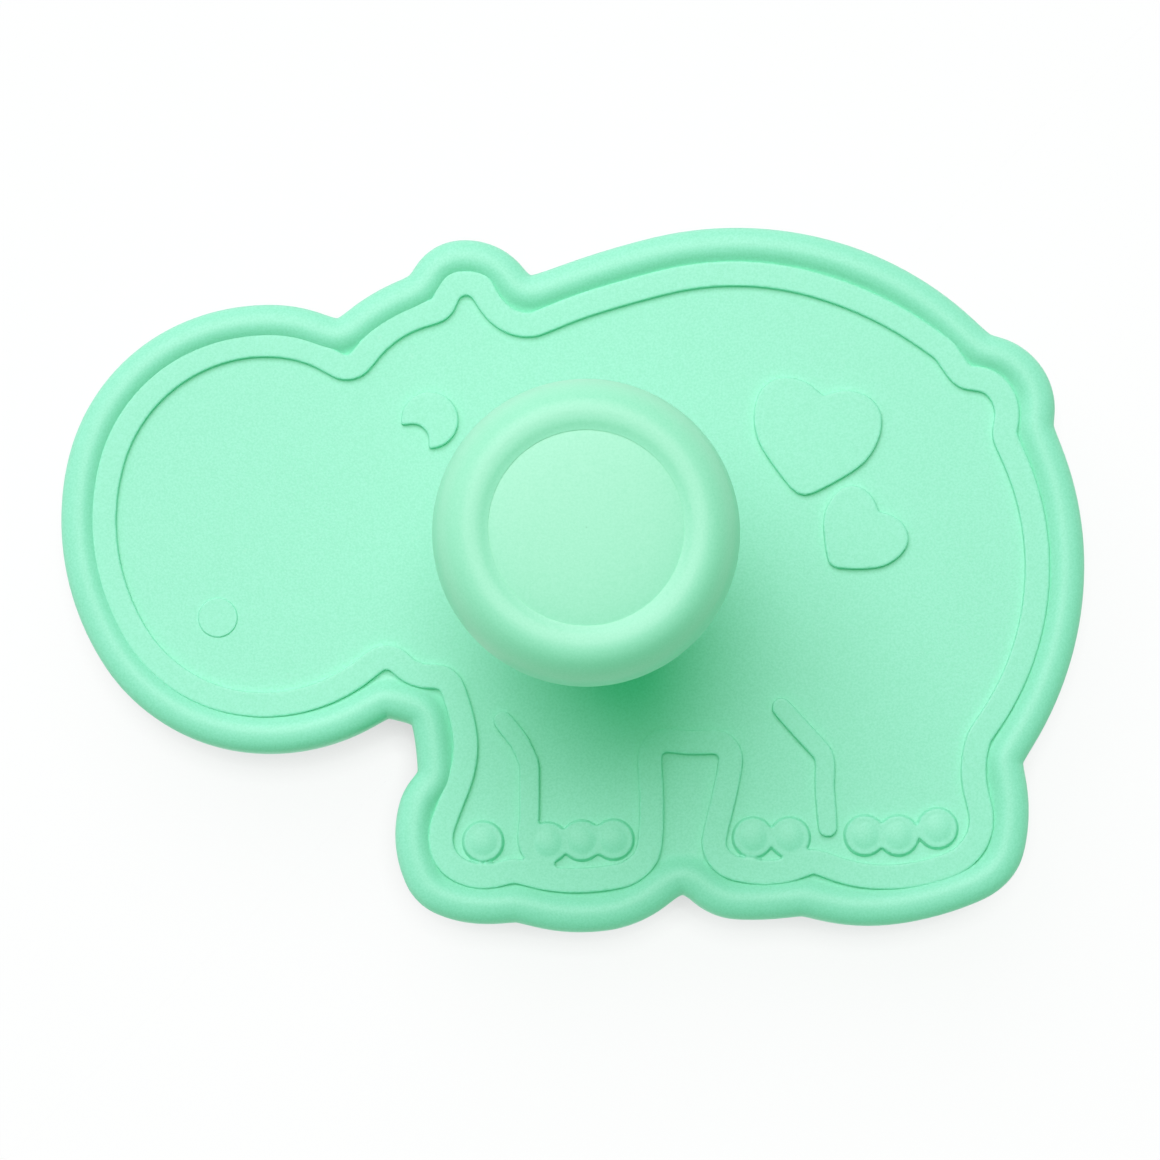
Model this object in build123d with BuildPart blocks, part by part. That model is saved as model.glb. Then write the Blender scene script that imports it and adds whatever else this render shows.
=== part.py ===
import os
from math import acos, ceil, cos, pi, sin, sqrt

from build123d import *

# A spring-loaded plunger cutter for biscuit dough, in the outline of a hippo seen from its left side.
# Millimetres. The origin is under the middle of the outline, at the cutting edge. +X runs to the tail,
# +Y to the back of the hippo and +Z up to the knob.

# The whole tool
overall_length = 72.0
overlap = 0.5

# Cutter body: top plate, bead rim and skirt
skirt_depth = 13.0
plate_thickness = 2.0
bead_width = 2.1
bead_rise = 0.85
bead_drop = 0.6
bead_bevel = 0.75
bead_inner_bevel = 0.5
notch_round = 0.5
inset_round = 0.5
least_edge = 0.1
chord_sag = 0.04
hidden_chord_sag = 0.1
skirt_inset = 1.7
skirt_wall = 1.3
blade_wall = 0.5
blade_height = 3.2

# Relief on the plate, repeated under the stamp
relief_height = 0.6
relief_round = 0.2
relief_corner_round = 0.4
faint_relief_height = 0.2
contour_rib_width = 1.75
leg_rib_width = 1.4
toe_diameter = 2.9
toe_sides = 10
eye_diameter = 4.1
pupil_diameter = 2.4
nostril_diameter = 2.8
large_heart_height = 7.5
small_heart_height = 5.25

# Guide collar
collar_diameter = 11.4
collar_height = 12.0
collar_foot_bevel = 0.9
collar_mouth_chamfer = 0.4
guide_length = 4.5
stem_clearance = 0.05
boss_clearance = 0.5
boss_side_clearance = 0.5

# Plunger
stem_diameter = 5.0
stem_chamfer = 0.4
stamp_clearance = 0.4
stamp_thickness = 2.4
stamp_gap = 0.3
boss_diameter = 8.6
boss_height = 2.0
socket_floor = 0.8
edge_margin = 0.3
landing_gap = 0.35

# Return spring
wire_diameter = 0.5
wire_sides = 6
turn_sides = 12
spring_diameter = 8.2
spring_pocket_clearance = 0.35
spring_room = 2.2
active_turns = 4
closed_turns = 1
closed_turn_gap = 0.45
end_seat_gap = 0.03
spring_samples = 400

# Knob, its cap and the screw
knob_diameter = 20.4
knob_neck_wall = 1.25
knob_neck_clearance = 0.35
knob_neck_height = 5.0
knob_neck_chamfer = 0.3
knob_ring_step = 0.5
knob_web = 1.8
sleeve_wall = 0.65
sleeve_length = 5.0
cap_diameter = 12.9
cap_clearance = 0.05
cap_edge_thickness = 1.2
cap_dome = 0.45
cap_edge_bevel = 0.25
cap_skirt_wall = 0.9
cap_skirt_length = 1.2
screw_pocket_diameter = 9.0
screw_head_diameter = 5.6
screw_head_height = 1.7
screw_head_bevel = 0.5
screw_shank_diameter = 2.8
screw_hole_clearance = 0.1
screw_length = 9.0
screw_bottom_gap = 0.5
screw_recess_length = 2.6
screw_recess_width = 0.7
screw_recess_depth = 0.9
screw_tip_length = 1.2

# Below this share of bend, two arcs count as straight
straight_share = 1e-9

# Outline of the top plate over the bead, one run of points between each pair of notches: shares of the
# overall length from the middle of the outline, and the line's heading there in degrees. A run with no
# headings is straight.
outline_runs_shares = [
    [(-0.232, 0.255, 43), (-0.161, 0.298, 20)],
    [(-0.161, 0.298, 67), (-0.119, 0.333, 10), (-0.043, 0.297, -61)],
    [(-0.043, 0.297, 23), (0.075, 0.336, 14), (0.409, 0.240, -47)],
    [(0.409, 0.240, -8), (0.471, 0.150, -104)],
    [(0.471, 0.150, -65), (0.439, -0.181, -125)],
    [(0.439, -0.181, -75), (0.440, -0.269, -104), (0.399, -0.315, -156), (0.224, -0.330, 162)],
    [(0.224, -0.330, -170), (0.107, -0.306, 128)],
    [(0.107, -0.306, -133), (-0.056, -0.336, 161)],
    [(-0.056, -0.336, -171), (-0.135, -0.328, 156), (-0.174, -0.261, 95), (-0.152, -0.190, 44)],
    [(-0.152, -0.190, 92), (-0.158, -0.142, 102)],
    [(-0.158, -0.142), (-0.182, -0.136)],
    [(-0.182, -0.136, -146), (-0.460, -0.085, 123), (-0.367, 0.259, 18), (-0.232, 0.255, -26)],
]

# Outer edge of the raised contour line, which also runs up between the legs
contour_runs_shares = [
    [(-0.221, 0.216, 60), (-0.136, 0.274, 8)],
    [(-0.136, 0.274, 109), (-0.113, 0.302, 5), (-0.078, 0.288, -70), (-0.041, 0.261, 9)],
    [(-0.041, 0.261, 25), (0.085, 0.303, 14), (0.373, 0.232, -39)],
    [(0.373, 0.232), (0.389, 0.208)],
    [(0.389, 0.208, 6), (0.434, 0.142, -111)],
    [(0.434, 0.142, -62), (0.407, -0.161, -128)],
    [(0.407, -0.161, -110), (0.407, -0.217, -70), (0.372, -0.292, -158), (0.234, -0.289, 154)],
    [(0.234, -0.289, -151), (0.154, -0.296, 164), (0.126, -0.248, 74), (0.143, -0.171, 81)],
    [(0.143, -0.171, -167), (0.085, -0.169, 163)],
    [(0.085, -0.169, -82), (0.087, -0.261, -95), (0.046, -0.304, -169), (-0.058, -0.298, 159)],
    [(-0.058, -0.298, -155), (-0.123, -0.293, 144), (-0.140, -0.241, 74), (-0.120, -0.187, 75),
     (-0.131, -0.108, 111)],
    [(-0.131, -0.108, -168), (-0.182, -0.087, 124)],
    [(-0.182, -0.087, -135), (-0.440, -0.060, 121), (-0.342, 0.237, 14), (-0.221, 0.216, -37)],
]

# Places of the inner relief, in the same shares
front_leg_shares = [(-0.069, -0.140), (-0.053, -0.160), (-0.043, -0.182), (-0.043, -0.232), (-0.046, -0.264),
                    (-0.028, -0.280)]
rear_leg_shares = [(0.203, -0.127), (0.228, -0.155), (0.246, -0.174), (0.245, -0.205), (0.248, -0.244)]
toe_group_shares = [
    [(-0.088, -0.258)],
    [(-0.025, -0.259), (0.008, -0.257), (0.039, -0.256)],
    [(0.175, -0.254), (0.211, -0.254)],
    [(0.284, -0.252), (0.317, -0.252), (0.355, -0.245)],
]
large_heart_tip_share = (0.222, 0.077)
large_heart_turn = -12.5
small_heart_tip_share = (0.250, 0.010)
small_heart_turn = -42.0
eye_share = (-0.141, 0.155)
pupil_share = (-0.158, 0.135)
nostril_share = (-0.348, -0.039)
plunger_axis_share = (0.012, 0.016)

# Half of a heart, from its tip to its cusp, as shares of the distance between them, with headings
heart_half_shares = [(0.0, 0.0, 35), (0.605, 0.850, 96), (0.0, 1.0, -138)]

# The knob's head above its neck, in straight bands: shares of how far it bulges out and of its height
knob_head_shares = [(0.0, 0.0), (1.0, 0.45), (1.0, 0.7), (0.05, 1.0)]

# Heights that follow from the sizes above
plate_under_z = skirt_depth
plate_top_z = plate_under_z + plate_thickness
relief_top_z = plate_top_z + relief_height
bead_bottom_z = plate_under_z - bead_drop
bead_top_z = plate_top_z + bead_rise
stamp_top_z = plate_under_z - stamp_gap
stamp_under_z = stamp_top_z - stamp_thickness
press_travel = stamp_under_z - relief_height - edge_margin
boss_top_z = stamp_top_z + boss_height
guide_bottom_z = boss_top_z + boss_clearance
guide_top_z = guide_bottom_z + guide_length
collar_top_z = plate_top_z + collar_height
socket_bottom_z = stamp_under_z + socket_floor
knob_bottom_z = relief_top_z + press_travel + landing_gap
ceiling_z = collar_top_z + press_travel + spring_room
web_top_z = ceiling_z + knob_web
cap_seat_z = web_top_z + screw_head_height + cap_clearance
knob_rim_z = cap_seat_z + cap_edge_thickness
knob_top_z = knob_rim_z + knob_ring_step

axis_x = plunger_axis_share[0] * overall_length
axis_y = plunger_axis_share[1] * overall_length
spring_pocket_radius = spring_diameter / 2 + spring_pocket_clearance
neck_bore_radius = collar_diameter / 2 + knob_neck_clearance
neck_radius = neck_bore_radius + knob_neck_wall


def place(share):
    return Vector(share[0], share[1]) * overall_length


def twin_arcs(start, start_heading, end, final_heading):
    # Two arcs that meet smoothly, from one point and direction to another
    chord = end - start
    along = chord.dot(start_heading + final_heading)
    bend = 2 * (1 - start_heading.dot(final_heading))
    reach = chord.dot(chord) / (2 * along) if along > 0 else chord.length / 2
    if bend * chord.dot(chord) > straight_share * along**2:
        reach = (sqrt(along**2 + bend * chord.dot(chord)) - along) / bend
    middle = (start + start_heading * reach + end - final_heading * reach) / 2
    first = TangentArc(start, middle, tangent=start_heading)
    TangentArc(middle, end, tangent=first % 1)


def headed_run(run, full_length):
    # A smooth run of arcs through places with known headings, or one straight line
    places = [Vector(share[0], share[1]) * full_length for share in run]
    if len(run[0]) == 2:
        Line(*places)
        return
    headings = [Vector(1, 0).rotate(Axis.Z, share[-1]) for share in run]
    for i in range(len(run) - 1):
        twin_arcs(places[i], headings[i], places[i + 1], headings[i + 1])


def closed_outline(runs_shares, corner_round):
    # A face inside the runs, its corners slightly rounded
    with BuildSketch() as face:
        with BuildLine():
            for run in runs_shares:
                headed_run(run, overall_length)
        make_face()
        corners = [face.vertices().sort_by_distance(place(run[0]))[0] for run in runs_shares]
        fillet(corners, radius=corner_round)
    return face.sketch


def redrawn(face):
    # The same face with every edge drawn again as a plain arc or line, and the tiniest edges closed up
    edges = [edge for edge in face.faces()[0].outer_wire().order_edges() if edge.length > least_edge]
    with BuildSketch() as clean:
        with BuildLine():
            for i, edge in enumerate(edges):
                start = edges[i - 1] @ 1
                if edge.geom_type == GeomType.LINE:
                    Line(start, edge @ 1)
                else:
                    ThreePointArc(start, edge @ 0.5, edge @ 1)
        make_face()
    return clean.sketch


def inset(face, distance):
    # The face drawn in by a distance, with its corners rounded by going too far in and back out
    with BuildSketch() as smaller:
        add(face)
        offset(amount=-distance - inset_round)
    with BuildSketch() as rounded:
        add(redrawn(smaller.sketch))
        offset(amount=inset_round)
    return redrawn(rounded.sketch)


def chorded(face, sag):
    # The same face with its arcs as chords that leave them by no more than the sag
    points = []
    for edge in face.faces()[0].outer_wire().order_edges():
        steps = 1
        if edge.geom_type == GeomType.CIRCLE:
            steps = ceil(edge.length / edge.radius / (2 * acos(1 - sag / edge.radius)))
        points += [edge @ (i / steps) for i in range(steps)]
    with BuildSketch() as plain:
        with BuildLine():
            Polyline(*points, close=True)
        make_face()
    return plain.sketch


def heart(tip_share, turn, height):
    # A heart that stands on its tip, turned about it
    left_half_shares = [(-across, along, -heading) for across, along, heading in reversed(heart_half_shares)]
    with BuildSketch() as face:
        with BuildLine():
            headed_run(heart_half_shares, height)
            headed_run(left_half_shares, height)
        make_face()
        cusp = face.vertices().sort_by_distance(Vector(0, height))[0]
        fillet(cusp, radius=relief_round)
    return chorded(face.sketch, chord_sag).rotate(Axis.Z, turn).moved(Location(place(tip_share)))


def leg_rib(shares):
    # A raised line of even width with round ends
    points = [place(share) for share in shares]
    with BuildSketch() as line:
        with BuildLine():
            FilletPolyline(*points, radius=leg_rib_width)
        trace(line_width=leg_rib_width)
        with Locations(points[0], points[-1]):
            Circle(leg_rib_width / 2)
    return chorded(line.sketch, chord_sag)


outline = closed_outline(outline_runs_shares, notch_round)
bead_outline = chorded(outline, chord_sag)
field_outline = chorded(inset(outline, bead_width), chord_sag)
skirt_outer = chorded(inset(outline, skirt_inset), hidden_chord_sag)
skirt_inner = chorded(inset(outline, skirt_inset + skirt_wall), hidden_chord_sag)
blade_outer = chorded(inset(outline, skirt_inset + skirt_wall - blade_wall), hidden_chord_sag)
stamp_outline = chorded(inset(outline, skirt_inset + skirt_wall + stamp_clearance), hidden_chord_sag)
contour_outline = closed_outline(contour_runs_shares, relief_corner_round)


with BuildSketch() as contour_line:
    add(chorded(contour_outline, chord_sag))
    add(chorded(inset(contour_outline, contour_rib_width), chord_sag), mode=Mode.SUBTRACT)

with BuildSketch() as toe:
    RegularPolygon(toe_diameter / 2, toe_sides)

with BuildSketch() as eye:
    with Locations(place(eye_share)):
        Circle(eye_diameter / 2)
    with Locations(place(pupil_share)):
        Circle(pupil_diameter / 2, mode=Mode.SUBTRACT)
    fillet(eye.vertices(), radius=relief_round)


# The relief, rising from zero height: lines, toes, eye and hearts, and the fainter nostril
with BuildPart() as relief:
    add(contour_line.sketch)
    add(leg_rib(front_leg_shares))
    add(leg_rib(rear_leg_shares))
    for group in toe_group_shares:
        with Locations([place(share) for share in group]):
            add(toe.sketch)
    add(chorded(eye.sketch, chord_sag))
    add(heart(large_heart_tip_share, large_heart_turn, large_heart_height))
    add(heart(small_heart_tip_share, small_heart_turn, small_heart_height))
    extrude(amount=relief_height)
    with BuildSketch():
        with Locations(place(nostril_share)):
            Circle(nostril_diameter / 2)
    extrude(amount=faint_relief_height)


def at_axis(z):
    # A level plane centred on the plunger's axis
    return Plane(origin=(axis_x, axis_y, z))


def profile_plane():
    # The upright plane through the plunger's axis: radius across, height up
    return Plane(origin=(axis_x, axis_y, 0), x_dir=(1, 0, 0), z_dir=(0, -1, 0))


plunger_axis = Axis((axis_x, axis_y, 0), (0, 0, 1))

# Cutter body: the plate with its bead, the skirt below it and the guide collar above it
with BuildPart() as cutter_body:
    with BuildSketch(Plane.XY.offset(bead_bottom_z)):
        add(bead_outline)
    extrude(amount=bead_top_z - bead_bottom_z)
    chamfer(cutter_body.faces().sort_by(Axis.Z)[-1].edges(), length=bead_bevel)
    with BuildSketch(Plane.XY.offset(plate_top_z)):
        add(field_outline)
    extrude(amount=bead_rise + overlap, mode=Mode.SUBTRACT)
    bead_top = cutter_body.faces().filter_by(Axis.Z).sort_by(Axis.Z)[-1]
    chamfer(bead_top.inner_wires().edges(), length=bead_inner_bevel)
    with BuildSketch(Plane.XY.offset(blade_height)):
        add(skirt_outer)
    extrude(amount=plate_under_z + overlap - blade_height)
    skirt_step = cutter_body.faces().sort_by(Axis.Z)[0]
    chamfer(skirt_step.edges(), length=skirt_wall - blade_wall)
    with BuildSketch():
        add(blade_outer)
    extrude(amount=plate_under_z)
    with BuildSketch():
        add(skirt_inner)
    extrude(amount=plate_under_z, mode=Mode.SUBTRACT)
    with BuildSketch(at_axis(plate_top_z)):
        Circle(collar_diameter / 2)
    extrude(amount=collar_height)
    collar_foot = cutter_body.edges().filter_by(GeomType.CIRCLE).filter_by(
        lambda edge: edge.radius == collar_diameter / 2 and edge.arc_center.Z == plate_top_z
    )
    chamfer(collar_foot, length=collar_foot_bevel)
    with BuildSketch(profile_plane()):
        with BuildLine():
            Polyline(
                (0, plate_under_z - overlap),
                (boss_diameter / 2 + boss_side_clearance, plate_under_z - overlap),
                (boss_diameter / 2 + boss_side_clearance, guide_bottom_z),
                (stem_diameter / 2 + stem_clearance, guide_bottom_z),
                (stem_diameter / 2 + stem_clearance, guide_top_z),
                (spring_pocket_radius, guide_top_z),
                (spring_pocket_radius, collar_top_z + overlap),
                (0, collar_top_z + overlap),
                close=True,
            )
        make_face()
    revolve(axis=plunger_axis, mode=Mode.SUBTRACT)
    collar_rim = cutter_body.faces().filter_by(Axis.Z).sort_by(Axis.Z)[-1]
    chamfer(collar_rim.edges(), length=collar_mouth_chamfer)
    with Locations((0, 0, plate_top_z)):
        add(relief.part)
cutter_body.part.label = "cutter_body"

# Stamp plate: slides inside the skirt, with the same relief under it and a boss for the stem on top
with BuildPart() as stamp_plate:
    with Locations((0, 0, stamp_under_z)):
        add(mirror(relief.part, about=Plane.XY, mode=Mode.PRIVATE))
    with BuildSketch(Plane.XY.offset(stamp_under_z - relief_height)):
        add(stamp_outline)
    extrude(amount=relief_height, mode=Mode.INTERSECT)
    with BuildSketch(Plane.XY.offset(stamp_under_z)):
        add(stamp_outline)
    extrude(amount=stamp_thickness)
    with BuildSketch(at_axis(stamp_top_z)):
        Circle(boss_diameter / 2)
    extrude(amount=boss_height)
    with BuildSketch(at_axis(socket_bottom_z)):
        Circle(stem_diameter / 2)
    extrude(amount=boss_top_z - socket_bottom_z, mode=Mode.SUBTRACT)
stamp_plate.part.label = "stamp_plate"

# Plunger stem: pressed into the stamp's socket, its top in the knob's sleeve, with a pilot hole for the screw
with BuildPart() as plunger_stem:
    with BuildSketch(at_axis(socket_bottom_z)):
        Circle(stem_diameter / 2)
    extrude(amount=ceiling_z - socket_bottom_z)
    chamfer(plunger_stem.faces().filter_by(Axis.Z).edges(), length=stem_chamfer)
    with BuildSketch(at_axis(ceiling_z)):
        Circle(screw_shank_diameter / 2)
    extrude(amount=-(screw_length - knob_web + screw_bottom_gap), mode=Mode.SUBTRACT)
plunger_stem.part.label = "plunger_stem"


def knob_profile():
    # From the neck's lower inner corner, up the outside, over the ring and down through the middle
    sleeve_radius = stem_diameter / 2 + sleeve_wall
    screw_hole_radius = screw_shank_diameter / 2 + screw_hole_clearance
    cap_seat_radius = cap_diameter / 2 + cap_clearance
    neck_top = Vector(neck_radius, knob_bottom_z + knob_neck_height)
    head_bulge = knob_diameter / 2 - neck_radius
    head_height = knob_top_z - neck_top.Y
    head_points = [neck_top + Vector(across * head_bulge, up * head_height) for across, up in knob_head_shares]
    with BuildLine() as line:
        Polyline(
            (neck_radius, knob_bottom_z),
            *head_points,
            (cap_seat_radius, knob_rim_z),
            (cap_seat_radius, cap_seat_z),
            (screw_pocket_diameter / 2, cap_seat_z),
            (screw_pocket_diameter / 2, web_top_z),
            (screw_hole_radius, web_top_z),
            (screw_hole_radius, ceiling_z),
            (stem_diameter / 2, ceiling_z),
            (stem_diameter / 2, ceiling_z - sleeve_length),
            (sleeve_radius, ceiling_z - sleeve_length),
            (sleeve_radius, ceiling_z),
            (neck_bore_radius, ceiling_z),
            (neck_bore_radius, knob_bottom_z),
            (neck_radius, knob_bottom_z),
        )
    return line.line


# Knob: a hollow mushroom whose neck slides down over the collar
with BuildPart() as knob:
    with BuildSketch(profile_plane()):
        add(knob_profile())
        make_face()
    revolve(axis=plunger_axis)
    neck_end = knob.faces().filter_by(Axis.Z).sort_by(Axis.Z)[0]
    chamfer(neck_end.edges(), length=knob_neck_chamfer)
knob.part.label = "knob"

# Knob cap: a shallow dome with a short skirt that presses into the screw pocket
with BuildPart() as knob_cap:
    with BuildSketch(profile_plane()):
        with BuildLine():
            Polyline(
                (0, knob_rim_z + cap_dome),
                (0, cap_seat_z),
                (screw_pocket_diameter / 2 - cap_skirt_wall, cap_seat_z),
                (screw_pocket_diameter / 2 - cap_skirt_wall, cap_seat_z - cap_skirt_length),
                (screw_pocket_diameter / 2, cap_seat_z - cap_skirt_length),
                (screw_pocket_diameter / 2, cap_seat_z),
                (cap_diameter / 2, cap_seat_z),
                (cap_diameter / 2, knob_rim_z - cap_edge_bevel),
                close=True,
            )
        make_face()
    revolve(axis=plunger_axis)
knob_cap.part.label = "knob_cap"

# Stem screw: pan head, plain shank and a short point
with BuildPart() as stem_screw:
    with BuildSketch(profile_plane()):
        with BuildLine():
            Polyline(
                (screw_head_diameter / 2, web_top_z),
                (screw_shank_diameter / 2, web_top_z),
                (screw_shank_diameter / 2, web_top_z - screw_length + screw_tip_length),
                (0, web_top_z - screw_length),
                (0, web_top_z + screw_head_height),
                (screw_head_diameter / 2 - screw_head_bevel, web_top_z + screw_head_height),
                (screw_head_diameter / 2, web_top_z + screw_head_height - screw_head_bevel),
                close=True,
            )
        make_face()
    revolve(axis=plunger_axis)
    with BuildSketch(at_axis(web_top_z + screw_head_height)):
        Rectangle(screw_recess_length, screw_recess_width)
        Rectangle(screw_recess_width, screw_recess_length)
    extrude(amount=-screw_recess_depth, mode=Mode.SUBTRACT)
stem_screw.part.label = "stem_screw"


def spring_points():
    # Points round the coil, close together in the end turns and evenly spread between them
    wire_low = guide_top_z + wire_diameter / 2 + end_seat_gap
    wire_high = ceiling_z - wire_diameter / 2 - end_seat_gap
    end_lead = wire_diameter + closed_turn_gap
    active_lead = (wire_high - wire_low - 2 * closed_turns * end_lead) / active_turns
    turn_count = 2 * closed_turns + active_turns
    points = []
    for step in range(turn_sides * turn_count + 1):
        turn = step / turn_sides
        in_low = min(turn, closed_turns)
        in_high = max(turn - closed_turns - active_turns, 0)
        climb = (in_low + in_high) * end_lead + (turn - in_low - in_high) * active_lead
        coil_radius = (spring_diameter - wire_diameter) / 2
        angle = 2 * pi * turn
        points.append(Vector(
            axis_x + coil_radius * cos(angle), axis_y + coil_radius * sin(angle), wire_low + climb
        ))
    return points


# Return spring: one unbroken wire, in short straight lengths
with BuildPart() as return_spring:
    with BuildLine() as coil:
        Polyline(*spring_points())
    with BuildSketch(Plane(origin=coil.line @ 0, z_dir=coil.line % 0)):
        RegularPolygon(wire_diameter / 2, wire_sides)
    sweep(path=coil.line, transition=Transition.RIGHT)
return_spring.part.label = "return_spring"

samples = [coil.line @ (i / spring_samples) for i in range(spring_samples + 1)]
half_turn = spring_samples // (2 * (2 * closed_turns + active_turns))
apart = [(a - b).length for i, a in enumerate(samples) for b in samples[i + half_turn:]]
print("least gap between the spring's turns:", round(min(apart) - wire_diameter, 3))

os.makedirs("parts", exist_ok=True)
for piece in (cutter_body, stamp_plate, plunger_stem, return_spring, knob, knob_cap, stem_screw):
    export_step(piece.part, f"parts/{piece.part.label}.step")
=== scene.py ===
# Studio picture of a spring-loaded plunger cutter, seen from almost straight above.
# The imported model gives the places. Sizes in the settings are in millimetres, and mm turns them to metres.
import math

import bpy
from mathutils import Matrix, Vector


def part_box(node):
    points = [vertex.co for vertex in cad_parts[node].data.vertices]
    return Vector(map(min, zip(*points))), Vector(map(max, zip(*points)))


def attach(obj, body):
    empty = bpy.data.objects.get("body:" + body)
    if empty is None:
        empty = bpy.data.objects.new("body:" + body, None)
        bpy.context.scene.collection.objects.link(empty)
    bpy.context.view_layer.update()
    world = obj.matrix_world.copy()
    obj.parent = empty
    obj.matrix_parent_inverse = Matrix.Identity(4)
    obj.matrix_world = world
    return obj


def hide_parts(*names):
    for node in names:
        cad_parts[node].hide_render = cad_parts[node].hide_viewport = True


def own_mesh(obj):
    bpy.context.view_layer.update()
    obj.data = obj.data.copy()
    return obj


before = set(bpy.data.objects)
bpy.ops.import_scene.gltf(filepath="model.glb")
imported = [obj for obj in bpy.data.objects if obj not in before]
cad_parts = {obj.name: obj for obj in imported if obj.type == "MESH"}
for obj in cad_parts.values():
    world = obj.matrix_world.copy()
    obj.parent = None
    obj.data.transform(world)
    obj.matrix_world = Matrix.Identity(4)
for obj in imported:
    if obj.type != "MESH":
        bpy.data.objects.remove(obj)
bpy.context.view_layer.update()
mm = 0.001
mergeMm = 0.002

stemLow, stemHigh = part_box("plunger_stem")
axisX = (stemLow.x + stemHigh.x) / 2
axisY = (stemLow.y + stemHigh.y) / 2

# Levels of the cutter above its cutting edge
levels = {
    "plateUnder": 13.0 * mm,
    "plateTop": 15.0 * mm,
    "beadTop": 15.85 * mm,
    "reliefTop": 15.6 * mm,
    "stampRelief": 9.7 * mm,
    "stampUnder": 10.3 * mm,
    "stampTop": 12.7 * mm,
}


def deselectAll():
    if bpy.context.mode != "OBJECT":
        bpy.ops.object.mode_set(mode="OBJECT")
    bpy.ops.object.select_all(action="DESELECT")


def pick(piece):
    deselectAll()
    piece.select_set(True)
    bpy.context.view_layer.objects.active = piece


def editAll(piece):
    pick(piece)
    bpy.ops.object.mode_set(mode="EDIT")
    bpy.ops.mesh.select_mode(type="VERT")
    bpy.ops.mesh.select_all(action="SELECT")


def applyModifiers(piece):
    pick(piece)
    for modifier in list(piece.modifiers):
        bpy.ops.object.modifier_apply(modifier=modifier.name)


def smooth(piece, degrees):
    pick(piece)
    bpy.ops.object.shade_smooth_by_angle(angle=math.radians(degrees))


def faceOutwards(piece):
    # Merged points, and faces that point outwards
    editAll(piece)
    bpy.ops.mesh.remove_doubles(threshold=mergeMm * mm)
    bpy.ops.mesh.select_all(action="SELECT")
    bpy.ops.mesh.normals_make_consistent(inside=False)
    bpy.ops.object.mode_set(mode="OBJECT")


def copyOfNode(nodeName, name):
    # A merged copy of a CAD node, free to be changed
    pick(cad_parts[nodeName])
    bpy.ops.object.duplicate()
    piece = bpy.context.object
    piece.name = name
    piece.parent = None
    for key in list(piece.keys()):
        del piece[key]
    piece.data.materials.clear()
    editAll(piece)
    bpy.ops.mesh.remove_doubles(threshold=mergeMm * mm)
    bpy.ops.mesh.select_mode(type="FACE")
    bpy.ops.mesh.select_all(action="DESELECT")
    bpy.ops.object.mode_set(mode="OBJECT")
    return piece


outlineSettings = {
    # how level a face lies to count as flat, and how far off its level it may be
    "flatness": 0.95,
    "slackMm": 0.02,
    "stepsPerPoint": 3,
}


def edgeLoops(nodeName, level, facing, name):
    # Smooth outlines round all flat faces of a node at one level; facing is 1 for up, -1 for down
    piece = copyOfNode(nodeName, name)
    for face in piece.data.polygons:
        flat = face.normal.z * facing > outlineSettings["flatness"]
        face.select = flat and abs(face.center.z - level) < outlineSettings["slackMm"] * mm
    bpy.ops.object.mode_set(mode="EDIT")
    bpy.ops.mesh.region_to_loop()
    bpy.ops.mesh.duplicate()
    bpy.ops.mesh.select_mode(type="VERT")
    bpy.ops.mesh.select_all(action="INVERT")
    bpy.ops.mesh.delete(type="VERT")
    bpy.ops.object.mode_set(mode="OBJECT")
    bpy.ops.object.convert(target="CURVE")
    bpy.ops.object.mode_set(mode="EDIT")
    bpy.ops.curve.select_all(action="SELECT")
    bpy.ops.curve.spline_type_set(type="NURBS")
    bpy.ops.object.mode_set(mode="OBJECT")
    piece.data.dimensions = "2D"
    for spline in piece.data.splines:
        spline.order_u = 3
        spline.use_endpoint_u = False
        spline.resolution_u = outlineSettings["stepsPerPoint"]
    return piece


def signedArea(spline):
    # Above zero where the spline runs anticlockwise
    spots = [point.co for point in spline.points]
    return sum(a.x * b.y - b.x * a.y for a, b in zip(spots, spots[1:] + spots[:1])) / 2


def splineCentre(spline):
    spots = [point.co for point in spline.points]
    return [sum(spot[i] for spot in spots) / len(spots) for i in (0, 1)]


def keepSplines(curve, kept):
    for spline in [s for s in curve.data.splines if s not in kept]:
        curve.data.splines.remove(spline)


def largestFirst(curve):
    return sorted(curve.data.splines, key=lambda spline: abs(signedArea(spline)), reverse=True)


def sweptAlong(path, sectionSteps, pathInset):
    # Sweeps a closed section along an outline that runs pathInset inside the edge.
    # Each step of the section is its distance in from the edge and its height.
    if signedArea(path.data.splines[0]) < 0:
        pick(path)
        bpy.ops.object.mode_set(mode="EDIT")
        bpy.ops.curve.select_all(action="SELECT")
        bpy.ops.curve.switch_direction()
    deselectAll()
    bpy.ops.curve.primitive_bezier_circle_add(location=(0, 0, 0))
    section = bpy.context.object
    section.data.dimensions = "2D"
    section.data.splines.clear()
    line = section.data.splines.new("POLY")
    line.points.add(len(sectionSteps) - 1)
    for point, (inward, height) in zip(line.points, sectionSteps):
        point.co = ((inward - pathInset) * mm, height * mm, 0, 1)
    line.use_cyclic_u = True
    path.data.bevel_mode = "OBJECT"
    path.data.bevel_object = section
    path.data.fill_mode = "NONE"
    pick(path)
    bpy.ops.object.convert(target="MESH")
    bpy.data.objects.remove(section)
    faceOutwards(path)
    smooth(path, 40)
    return path


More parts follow.
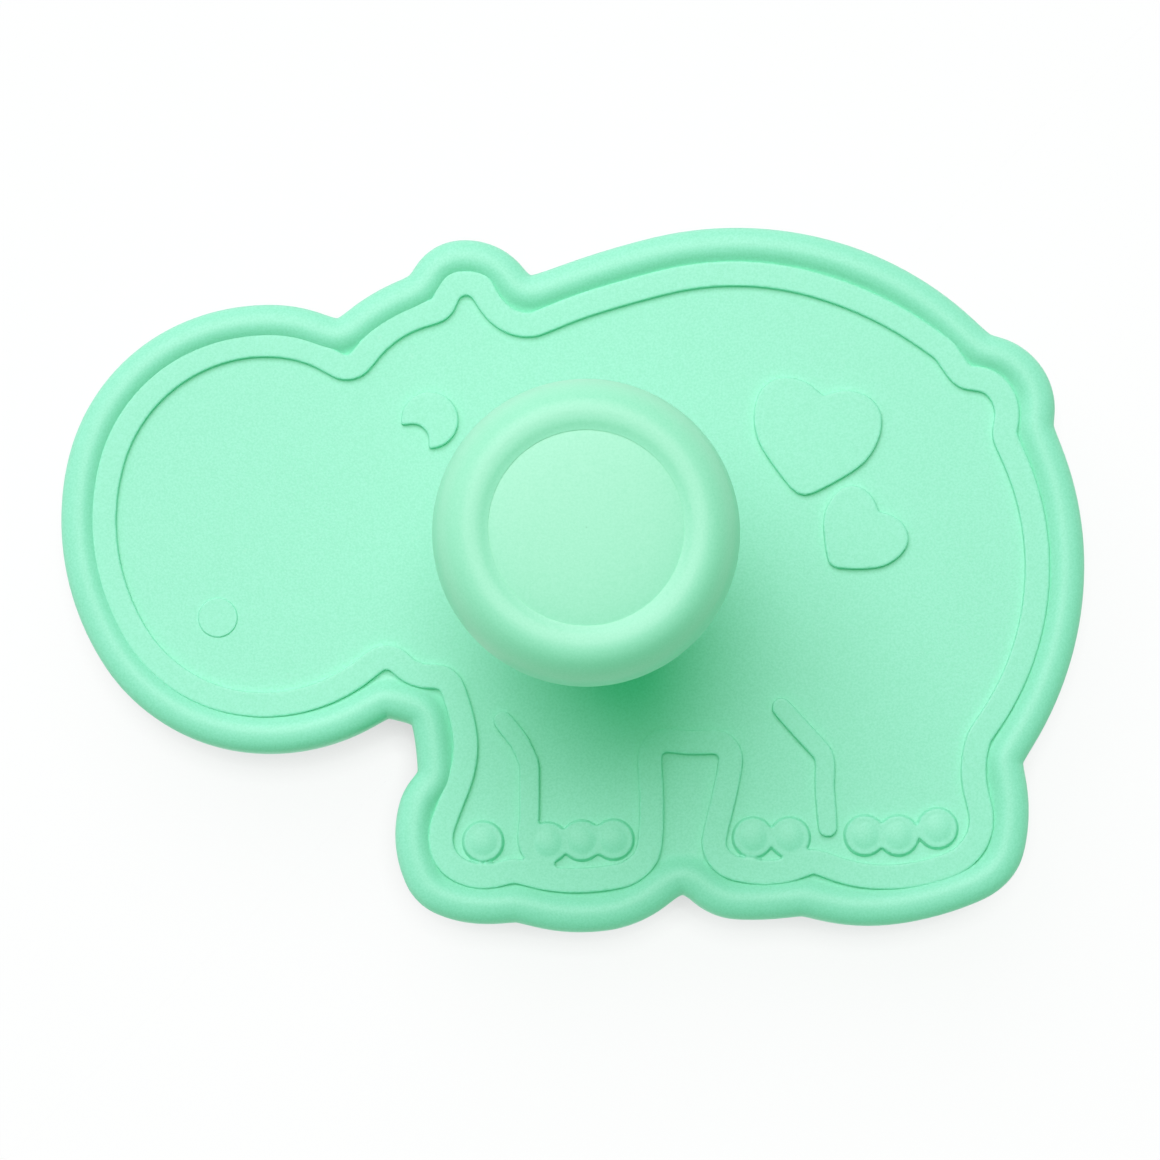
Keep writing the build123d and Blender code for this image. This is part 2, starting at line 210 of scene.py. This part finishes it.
def slab(curve, low, high, roundness):
    # Fills the outlines between two levels, with rounded edges
    curve.data.fill_mode = "BOTH"
    curve.data.extrude = (high - low) / 2 - roundness
    curve.data.bevel_depth = roundness
    curve.data.bevel_resolution = 3
    curve.data.offset = -roundness
    pick(curve)
    bpy.ops.object.convert(target="MESH")
    bpy.ops.object.mode_set(mode="EDIT")
    bpy.ops.mesh.select_all(action="SELECT")
    middle = sum(corner[2] for corner in curve.bound_box) / 8
    bpy.ops.transform.translate(value=(0, 0, (low + high) / 2 - middle))
    bpy.ops.object.mode_set(mode="OBJECT")
    return curve


def turned(name, steps, segments=96):
    # A turned piece on the plunger's axis: one ring drawn through steps of radius and height
    deselectAll()
    radius, height = steps[0]
    bpy.ops.mesh.primitive_circle_add(vertices=segments, radius=radius * mm, fill_type="NOTHING",
                                      location=(axisX, axisY, height * mm))
    piece = bpy.context.object
    piece.name = name
    bpy.ops.object.transform_apply(location=True)
    bpy.ops.object.mode_set(mode="EDIT")
    bpy.ops.mesh.select_all(action="SELECT")
    for before, after in zip(steps, steps[1:]):
        rise = (0, 0, (after[1] - before[1]) * mm)
        bpy.ops.mesh.extrude_region_move(TRANSFORM_OT_translate={"value": rise})
        growth = after[0] / before[0]
        bpy.ops.transform.resize(value=(growth, growth, 1),
                                 center_override=(axisX, axisY, after[1] * mm))
    bpy.ops.object.mode_set(mode="OBJECT")
    faceOutwards(piece)
    return piece


def closedUp(steps):
    return steps + steps[:1]


def arcSteps(start, end, bulge, count):
    # Steps of a bend between two pairs of radius and height; bulge is the corner that it rounds
    steps = []
    for i in range(1, count + 1):
        t = i / count
        across = (1 - t) ** 2 * start[0] + 2 * t * (1 - t) * bulge[0] + t * t * end[0]
        up = (1 - t) ** 2 * start[1] + 2 * t * (1 - t) * bulge[1] + t * t * end[1]
        steps.append((across, up))
    return steps


# Materials

def linear(hexColour):
    channels = [int(hexColour[i:i + 2], 16) / 255 for i in (1, 3, 5)]
    curve = [c / 12.92 if c <= 0.04045 else ((c + 0.055) / 1.055) ** 2.4 for c in channels]
    return (*curve, 1.0)


def addNode(tree, kind, settings=None, links=None):
    # One node with its settings, and links from other nodes' outputs to its inputs
    node = tree.nodes.new(kind)
    for key, value in (settings or {}).items():
        if isinstance(key, str) and hasattr(node, key):
            setattr(node, key, value)
        else:
            node.inputs[key].default_value = value
    for key, (source, output) in (links or {}).items():
        tree.links.new(source.outputs[output], node.inputs[key])
    return node


def noise(tree, place, sizeMm, detail, roughness=0.5):
    # Cloudy noise on Object coordinates, its features about sizeMm across
    return addNode(tree, "ShaderNodeTexNoise",
                   {"Scale": 1 / (sizeMm * mm), "Detail": detail, "Roughness": roughness},
                   {"Vector": (place, "Object")})


mintPlastic = {
    "colour": "#9EF1D1",
    "paler": "#A7F5D8",
    "scuff": "#B9F7DC",
    "shade": "#82E2B6",
    "cloudMm": 14.0,
    "scuffMm": 1.6,
    "scuffBand": (0.66, 0.78),
    "scuffShare": 0.45,
    "grainMm": 0.16,
    "grainBand": (0.35, 0.65),
    "grainShare": 0.4,
    "grainDepthMm": 0.012,
    "waveMm": 9.0,
    "waveDepthMm": 0.03,
    "roughness": 0.45,
    "smoother": 0.05,
    "rougher": 0.07,
    "refraction": 1.49,
}
knobPlastic = {
    **mintPlastic,
    # the knob's mint is set a little darker than the body's: painted shade on the knob and its cap
    "colour": "#A3EFCB",
    "paler": "#ABF2D1",
    "roughness": 0.4,
    "grainShare": 0.3,
    "grainDepthMm": 0.008,
}


def mouldedPolypropylene(name, look):
    # Moulded polypropylene: satin mint with a fine spark-eroded grain, so that highlights stay broad and soft,
    # faint flow clouds, a few pale scuffs, and a surface that waves a little as thin mouldings do
    material = bpy.data.materials.new(name)
    material.use_nodes = True
    tree = material.node_tree
    shader = tree.nodes["Principled BSDF"]
    place = addNode(tree, "ShaderNodeTexCoord")
    clouds = noise(tree, place, look["cloudMm"], 4.0, 0.55)
    tint = addNode(tree, "ShaderNodeMix",
                   {"data_type": "RGBA", 6: linear(look["colour"]), 7: linear(look["paler"])},
                   {0: (clouds, "Fac")})
    scuffs = noise(tree, place, look["scuffMm"], 6.0, 0.7)
    scuffRange = addNode(tree, "ShaderNodeMapRange",
                         {"From Min": look["scuffBand"][0], "From Max": look["scuffBand"][1],
                          "To Min": 0.0, "To Max": look["scuffShare"]},
                         {"Value": (scuffs, "Fac")})
    scuffed = addNode(tree, "ShaderNodeMix", {"data_type": "RGBA", 7: linear(look["scuff"])},
                      {0: (scuffRange, "Result"), 6: (tint, 2)})
    grain = noise(tree, place, look["grainMm"], 3.0, 0.6)
    grainRange = addNode(tree, "ShaderNodeMapRange",
                         {"From Min": look["grainBand"][0], "From Max": look["grainBand"][1],
                          "To Min": 0.0, "To Max": look["grainShare"]},
                         {"Value": (grain, "Fac")})
    grained = addNode(tree, "ShaderNodeMix", {"data_type": "RGBA", 7: linear(look["shade"])},
                      {0: (grainRange, "Result"), 6: (scuffed, 2)})
    tree.links.new(grained.outputs[2], shader.inputs["Base Color"])
    waves = noise(tree, place, look["waveMm"], 1.0, 0.4)
    grainBump = addNode(tree, "ShaderNodeBump",
                        {"Strength": 1.0, "Distance": look["grainDepthMm"] * mm}, {"Height": (grain, "Fac")})
    waveBump = addNode(tree, "ShaderNodeBump",
                       {"Strength": 1.0, "Distance": look["waveDepthMm"] * mm},
                       {"Height": (waves, "Fac"), "Normal": (grainBump, "Normal")})
    tree.links.new(waveBump.outputs["Normal"], shader.inputs["Normal"])
    rough = addNode(tree, "ShaderNodeMapRange",
                    {"To Min": look["roughness"] - look["smoother"],
                     "To Max": look["roughness"] + look["rougher"]},
                    {"Value": (clouds, "Fac")})
    tree.links.new(rough.outputs["Result"], shader.inputs["Roughness"])
    shader.inputs["IOR"].default_value = look["refraction"]
    return material


steelLook = {
    "colour": "#B9BBBE",
    "roughness": 0.28,
    "smoother": 0.08,
    "rougher": 0.12,
    "drawnMm": 0.05,
    "drawnDepthMm": 0.003,
}


def drawnSteel(name, look):
    # Drawn stainless steel: bright, with fine streaks left by the die that break up its reflections
    material = bpy.data.materials.new(name)
    material.use_nodes = True
    tree = material.node_tree
    shader = tree.nodes["Principled BSDF"]
    shader.inputs["Base Color"].default_value = linear(look["colour"])
    shader.inputs["Metallic"].default_value = 1.0
    place = addNode(tree, "ShaderNodeTexCoord")
    streaks = noise(tree, place, look["drawnMm"], 2.0)
    rough = addNode(tree, "ShaderNodeMapRange",
                    {"To Min": look["roughness"] - look["smoother"],
                     "To Max": look["roughness"] + look["rougher"]},
                    {"Value": (streaks, "Fac")})
    tree.links.new(rough.outputs["Result"], shader.inputs["Roughness"])
    bump = addNode(tree, "ShaderNodeBump", {"Strength": 1.0, "Distance": look["drawnDepthMm"] * mm},
                   {"Height": (streaks, "Fac")})
    tree.links.new(bump.outputs["Normal"], shader.inputs["Normal"])
    return material


mintMaterial = mouldedPolypropylene("mouldedMintPolypropylene", mintPlastic)
# the knob's material is smoother, and its colour carries painted shade
knobMaterial = mouldedPolypropylene("polishedMintWithPaintedShade", knobPlastic)
steelMaterial = drawnSteel("drawnStainlessSteel", steelLook)


def giveMaterial(piece, material):
    piece.data.materials.clear()
    piece.data.materials.append(material)


def dress(piece, body, material, node):
    # The material, the body that the piece moves with, and the CAD node that it stands for
    giveMaterial(piece, material)
    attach(piece, body)
    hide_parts(node)


# Cutter body: skirt, plate, raised lines, bead rim and collar

beadRim = {
    "pathInset": 0.75,
    # from the foot of the outer wall, over the broad crest, down to the plate and back underneath
    "section": [(0.3, 12.4), (0.09, 12.49), (0.0, 12.7), (0.0, 14.6), (0.03, 14.88), (0.11, 15.14),
                (0.25, 15.37), (0.44, 15.55), (0.67, 15.69), (0.93, 15.78), (1.2, 15.83), (1.47, 15.83),
                (1.72, 15.78), (1.95, 15.67), (2.16, 15.51), (2.36, 15.32), (2.56, 15.15), (2.78, 15.04),
                (3.0, 14.99), (3.0, 14.0), (2.0, 12.4)],
}


def makeBead():
    path = edgeLoops("cutter_body", levels["beadTop"], 1, "beadRim")
    keepSplines(path, largestFirst(path)[:1])
    return sweptAlong(path, beadRim["section"], beadRim["pathInset"])


topPlate = {
    "holeRadius": 6.4,
    "holeSteps": 16,
}


def addHole(curve):
    # A round hole at the plunger's axis, which the collar fills
    pick(curve)
    bpy.ops.object.mode_set(mode="EDIT")
    bpy.ops.curve.select_all(action="DESELECT")
    bpy.ops.curve.primitive_nurbs_circle_add(radius=topPlate["holeRadius"] * mm, location=(axisX, axisY, 0))
    bpy.ops.object.mode_set(mode="OBJECT")
    curve.data.splines[-1].resolution_u = topPlate["holeSteps"]


def makePlate():
    plate = edgeLoops("cutter_body", levels["beadTop"], 1, "topPlate")
    keepSplines(plate, largestFirst(plate)[:1])
    addHole(plate)
    slab(plate, levels["plateUnder"], levels["plateTop"], 0.0)
    faceOutwards(plate)
    return plate


softening = {
    "voxelMm": 0.09,
    "factor": 0.5,
    "rounds": 4,
    "facesKept": 0.4,
}


def soften(piece):
    # Even small faces, then a little smoothing, which rounds every edge as moulding does
    remesh = piece.modifiers.new("evenFaces", "REMESH")
    remesh.mode = "VOXEL"
    remesh.voxel_size = softening["voxelMm"] * mm
    relax = piece.modifiers.new("moulded", "SMOOTH")
    relax.factor = softening["factor"]
    relax.iterations = softening["rounds"]
    thin = piece.modifiers.new("fewerFaces", "DECIMATE")
    thin.ratio = softening["facesKept"]
    applyModifiers(piece)
    pick(piece)
    bpy.ops.object.shade_smooth()
    print(piece.name, len(piece.data.polygons), "faces")


toes = {
    "radius": 1.52,
    "height": 0.54,
    "places": [(-6.34, -18.58), (-1.8, -18.65), (0.58, -18.5), (2.81, -18.43), (12.6, -18.29),
               (15.19, -18.29), (20.45, -18.14), (22.82, -18.14), (25.56, -17.64)],
}


def addToes(lines):
    # A low dome over every toe, which the remesh makes one with the lines
    for x, y in toes["places"]:
        deselectAll()
        bpy.ops.mesh.primitive_uv_sphere_add(segments=48, ring_count=24, radius=toes["radius"] * mm,
                                             location=(x * mm, y * mm, levels["plateTop"]),
                                             scale=(1, 1, toes["height"] / toes["radius"]))
        lines.select_set(True)
        bpy.context.view_layer.objects.active = lines
        bpy.ops.object.join()


raisedLines = {
    "root": 0.5,
    "height": 0.42,
}


def makeRaisedLines():
    # The contour, legs, toes, eye and hearts, rooted in the plate
    lines = edgeLoops("cutter_body", levels["reliefTop"], 1, "raisedLines")
    slab(lines, levels["plateTop"] - raisedLines["root"] * mm,
         levels["plateTop"] + raisedLines["height"] * mm, 0.0)
    faceOutwards(lines)
    addToes(lines)
    soften(lines)
    return lines


nostrilDisc = {
    "place": (-25.06 * mm, -2.81 * mm),
    "root": 0.4,
    "height": 0.12,
    "edge": 0.1,
}


def makeNostril():
    # The outline nearest the nostril's place, among those that the plate's top face has
    disc = edgeLoops("cutter_body", levels["plateTop"], 1, "nostril")
    nearest = min(disc.data.splines,
                  key=lambda spline: math.dist(splineCentre(spline), nostrilDisc["place"]))
    keepSplines(disc, [nearest])
    slab(disc, levels["plateTop"] - nostrilDisc["root"] * mm,
         levels["plateTop"] + nostrilDisc["height"] * mm, nostrilDisc["edge"] * mm)
    smooth(disc, 40)
    return disc


skirtWall = {
    # in from the inner wall, so that outward is below zero
    "section": [(0.0, 0.05), (-0.05, 0.0), (-0.42, 0.0), (-0.5, 0.08), (-0.5, 3.1), (-0.53, 3.24),
                (-1.22, 3.93), (-1.3, 4.1), (-1.3, 13.3), (0.0, 13.3)],
}


def makeSkirt():
    # The hanging wall, drawn in to its cutting edge, along the inner of the edge's two outlines
    path = edgeLoops("cutter_body", 0.0, -1, "skirt")
    keepSplines(path, largestFirst(path)[1:2])
    return sweptAlong(path, skirtWall["section"], 0.0)


# The guide collar, from its foot's cove up to the mouth, then down past the spring's floor and the stem's bore
springFloor = 19.7
collarSteps = (
    [(7.2, 14.6), (7.05, 15.0)] + arcSteps((7.05, 15.0), (5.7, 16.25), (5.72, 15.05), 8)
    + [(5.7, 26.5)] + arcSteps((5.7, 26.5), (5.25, 27.0), (5.7, 26.98), 4)
    + [(4.65, 27.0), (4.45, 26.8), (4.45, springFloor), (2.75, springFloor), (2.55, 19.5), (2.55, 15.2),
       (4.8, 15.2), (4.8, 12.98), (6.3, 12.98), (6.6, 13.2), (7.2, 14.6)]
)

print("making the cutter body")
bead = makeBead()
plate = makePlate()
lines = makeRaisedLines()
nostril = makeNostril()
skirt = makeSkirt()
collar = turned("guideCollar", collarSteps)
smooth(collar, 35)
for piece in (bead, plate, lines, nostril, skirt, collar):
    dress(piece, "cutter", mintMaterial, "cutter_body")

# Plunger: the stamp with its embossing lines and boss

stampPlate = {
    "edge": 0.15,
    "sharpest": 50,
    "lineRoot": 0.5,
    # the boss that holds the stem
    "boss": [(2.5, 12.4), (4.3, 12.4), (4.3, 14.5), (4.24, 14.64), (4.1, 14.7), (2.7, 14.7), (2.5, 14.5)],
}


def makeStampPlate():
    stamp = edgeLoops("stamp_plate", levels["stampTop"], 1, "stampPlate")
    keepSplines(stamp, largestFirst(stamp)[:1])
    slab(stamp, levels["stampUnder"], levels["stampTop"], 0.0)
    faceOutwards(stamp)
    edge = stamp.modifiers.new("softEdge", "BEVEL")
    edge.width = stampPlate["edge"] * mm
    edge.segments = 2
    edge.limit_method = "ANGLE"
    edge.angle_limit = math.radians(stampPlate["sharpest"])
    applyModifiers(stamp)
    smooth(stamp, 35)
    return stamp


def makeEmbossingLines():
    lines = edgeLoops("stamp_plate", levels["stampRelief"], -1, "embossingLines")
    slab(lines, levels["stampRelief"], levels["stampUnder"] + stampPlate["lineRoot"] * mm, 0.0)
    faceOutwards(lines)
    soften(lines)
    return lines


print("making the plunger")
stamp = makeStampPlate()
embossing = makeEmbossingLines()
boss = turned("stampBoss", closedUp(stampPlate["boss"]))
smooth(boss, 35)
for piece in (stamp, embossing, boss):
    dress(piece, "plunger", mintMaterial, "stamp_plate")

# Knob, from its hollow neck up the outside, over the raised ring and down through the middle
knobShape = {
    "neck": [(6.05, 25.6), (6.2, 25.4), (6.4, 25.35), (6.95, 25.35), (7.2, 25.45), (7.3, 25.7),
             (7.3, 29.6)],
    # bends, each with its start, the corner that it rounds, and its end
    "flare": [((7.3, 29.6), (7.3, 32.4), (8.75, 34.5)), ((8.75, 34.5), (10.15, 36.5), (10.2, 39.3))],
    "crown": [((10.2, 39.3), (10.22, 41.5), (9.5, 42.7)), ((9.5, 42.7), (8.8, 43.85), (7.75, 43.85))],
    "lip": [((7.75, 43.85), (7.2, 43.85), (6.9, 43.75)), ((6.9, 43.75), (6.65, 43.66), (6.45, 43.62))],
    "inside": [(6.5, 43.3), (6.5, 42.15), (4.5, 42.15), (4.5, 40.4), (1.5, 40.4), (1.5, 38.6),
               (2.5, 38.6), (2.5, 33.6), (3.15, 33.6), (3.15, 38.6), (6.05, 38.6)],
    "bendSteps": 8,
    "segments": 128,
}


def makeKnob():
    steps = list(knobShape["neck"])
    for part in ("flare", "crown", "lip"):
        for start, corner, end in knobShape[part]:
            steps += arcSteps(start, end, corner, knobShape["bendSteps"])
    knob = turned("knob", closedUp(steps + knobShape["inside"]), knobShape["segments"])
    smooth(knob, 40)
    return knob


# Cap: a shallow dome that meets the ring's inner lip
capShape = {
    "dome": ((0.02, 43.84), (4.6, 43.84), (6.52, 43.56)),
    "domeSteps": 16,
    "edge": [(6.52, 43.3), (6.48, 43.1), (6.48, 42.17), (4.48, 42.17), (4.48, 40.95), (3.6, 40.95),
             (3.6, 42.1), (0.02, 42.1)],
    "segments": 128,
}


def makeCap():
    start, corner, end = capShape["dome"]
    steps = [start] + arcSteps(start, end, corner, capShape["domeSteps"]) + capShape["edge"]
    cap = turned("knobCap", closedUp(steps), capShape["segments"])
    smooth(cap, 40)
    return cap


# Return spring: round wire, closed turns at both ends and open ones between
returnSpring = {
    "wire": 0.5,
    "radius": 3.85,
    "low": 19.98,
    "high": 38.32,
    "closedLead": 0.95,
    "closedTurns": 1,
    "activeTurns": 4,
    "pointsPerTurn": 24,
    # share of its length that the pressed spring keeps
    "pressedShare": 0.5,
}


def springHeight(turn):
    # Height of the wire's middle after so many turns
    look = returnSpring
    turns = 2 * look["closedTurns"] + look["activeTurns"]
    inEnds = min(turn, look["closedTurns"]) + max(turn - turns + look["closedTurns"], 0)
    lead = (look["high"] - look["low"] - 2 * look["closedTurns"] * look["closedLead"]) / look["activeTurns"]
    return look["low"] + inEnds * look["closedLead"] + (turn - inEnds) * lead


def makeSpring():
    look = returnSpring
    radius = look["radius"] * mm
    deselectAll()
    bpy.ops.curve.primitive_nurbs_path_add(location=(0, 0, 0))
    spring = bpy.context.object
    spring.name = "returnSpring"
    spring.data.splines.clear()
    wire = spring.data.splines.new("NURBS")
    turns = 2 * look["closedTurns"] + look["activeTurns"]
    wire.points.add(turns * look["pointsPerTurn"])
    for i, point in enumerate(wire.points):
        turn = i / look["pointsPerTurn"]
        angle = 2 * math.pi * turn
        point.co = (axisX + radius * math.cos(angle), axisY + radius * math.sin(angle),
                    springHeight(turn) * mm, 1)
    wire.order_u = 3
    wire.use_endpoint_u = True
    wire.resolution_u = 3
    spring.data.bevel_depth = look["wire"] / 2 * mm
    spring.data.bevel_resolution = 3
    spring.data.use_fill_caps = True
    pick(spring)
    bpy.ops.object.convert(target="MESH")
    faceOutwards(spring)
    smooth(spring, 50)
    return spring


print("making the knob, its cap and the spring")
dress(makeKnob(), "plunger", knobMaterial, "knob")
dress(makeCap(), "plunger", knobMaterial, "knob_cap")
spring = makeSpring()
dress(spring, "cutter", steelMaterial, "return_spring")
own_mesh(spring)
for nodeName, material in (("plunger_stem", mintMaterial), ("stem_screw", steelMaterial)):
    giveMaterial(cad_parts[nodeName], material)

# Floor, backdrop, lights and camera

studio = {
    # sizes and places here are in metres
    "floorSize": 4.0,
    "floorColour": "#FCFCFC",
    "floorRoughness": 0.9,
    # share of plain white in what is seen of the paper, and the painted shadow that it takes next to the
    # object
    "paperGlow": 0.93,
    "paperShade": "#8C8C8C",
    "shadeReach": 0.0045,
    # green fill and pinkish lamps, which together are near white, for the green shadows of the photograph
    "fillColour": "#72FFBC",
    "fillStrength": 0.39,
    "lampColour": "#FFDDF4",
    "lamps": {
        # place, width and watts
        "keyLight": ((-0.18, 0.52, 1.0), 0.9, 11.3),
        "windowLight": ((-0.8, 0.3, 0.5), 0.6, 1.0),
        "overheadLight": ((-0.03, 0.16, 1.3), 0.4, 2.5),
    },
}

camera = {
    # pixels of the photograph's frame, and of the object's length in it
    "framePixels": 1160,
    "spanPixels": 1019,
    "spanMm": 72.0,
    "levelMm": 14.0,
    "distance": 0.405,
    "elevation": 85.7,
    "middlePixel": (580, 580),
    # where the photograph shows the frame's origin
    "objectPixel": (573.5, 579),
    "sensorWidth": 36,
    "nearest": 0.01,
}


def makeCamera():
    perPixel = camera["spanMm"] * mm / camera["spanPixels"]
    target = Vector((
        (camera["middlePixel"][0] - camera["objectPixel"][0]) * perPixel,
        (camera["objectPixel"][1] - camera["middlePixel"][1]) * perPixel,
        camera["levelMm"] * mm,
    ))
    tilt = math.radians(camera["elevation"])
    place = target + Vector((0, -math.cos(tilt), math.sin(tilt))) * camera["distance"]
    deselectAll()
    bpy.ops.object.camera_add(location=place, rotation=(math.radians(90) - tilt, 0, 0))
    photoCamera = bpy.context.object
    photoCamera.name = "photoCamera"
    frameWidth = camera["framePixels"] * perPixel
    photoCamera.data.sensor_width = camera["sensorWidth"]
    photoCamera.data.lens = camera["sensorWidth"] * camera["distance"] / frameWidth
    photoCamera.data.clip_start = camera["nearest"]
    bpy.context.scene.camera = photoCamera


def whitePaper():
    # White paper: plain white to the eye, with a painted shadow that darkens its glow close to the object
    material = bpy.data.materials.new("whitePaper")
    material.use_nodes = True
    tree = material.node_tree
    shader = tree.nodes["Principled BSDF"]
    shader.inputs["Base Color"].default_value = linear(studio["floorColour"])
    shader.inputs["Roughness"].default_value = studio["floorRoughness"]
    rays = addNode(tree, "ShaderNodeLightPath")
    direct = addNode(tree, "ShaderNodeMath", {"operation": "MAXIMUM"},
                     {0: (rays, "Is Camera Ray"), 1: (rays, "Is Glossy Ray")})
    seen = addNode(tree, "ShaderNodeMath", {"operation": "MAXIMUM"},
                   {0: (direct, "Value"), 1: (rays, "Is Transmission Ray")})
    share = addNode(tree, "ShaderNodeMath", {"operation": "MULTIPLY", 1: studio["paperGlow"]},
                    {0: (seen, "Value")})
    # ambient occlusion greys the glow near the object: a painted shadow
    corner = addNode(tree, "ShaderNodeAmbientOcclusion", {"Distance": studio["shadeReach"]})
    shade = addNode(tree, "ShaderNodeMix",
                    {"data_type": "RGBA", 6: linear(studio["paperShade"]), 7: (1, 1, 1, 1)},
                    {0: (corner, "AO")})
    glow = addNode(tree, "ShaderNodeEmission", {"Strength": 1.0}, {"Color": (shade, 2)})
    mixed = addNode(tree, "ShaderNodeMixShader", None,
                    {0: (share, "Value"), 1: (shader, "BSDF"), 2: (glow, "Emission")})
    tree.links.new(mixed.outputs["Shader"], tree.nodes["Material Output"].inputs["Surface"])
    return material


def makeFloor():
    deselectAll()
    bpy.ops.mesh.primitive_plane_add(size=studio["floorSize"], location=(0, 0, 0))
    floor = bpy.context.object
    floor.name = "studioFloor"
    floor.data.materials.append(whitePaper())


def makeLight():
    world = bpy.data.worlds.new("paleRoom")
    world.use_nodes = True
    background = world.node_tree.nodes["Background"]
    background.inputs["Color"].default_value = linear(studio["fillColour"])
    background.inputs["Strength"].default_value = studio["fillStrength"]
    bpy.context.scene.world = world
    for name, (place, width, watts) in studio["lamps"].items():
        bpy.ops.object.light_add(type="AREA", location=place)
        lamp = bpy.context.object
        lamp.name = name
        lamp.data.size = width
        lamp.data.energy = watts
        lamp.data.color = linear(studio["lampColour"])[:3]
        lamp.rotation_euler = (-lamp.location).to_track_quat("-Z", "Y").to_euler()


print("setting the studio")
makeFloor()
makeLight()
makeCamera()
bpy.context.scene.view_settings.view_transform = "Standard"
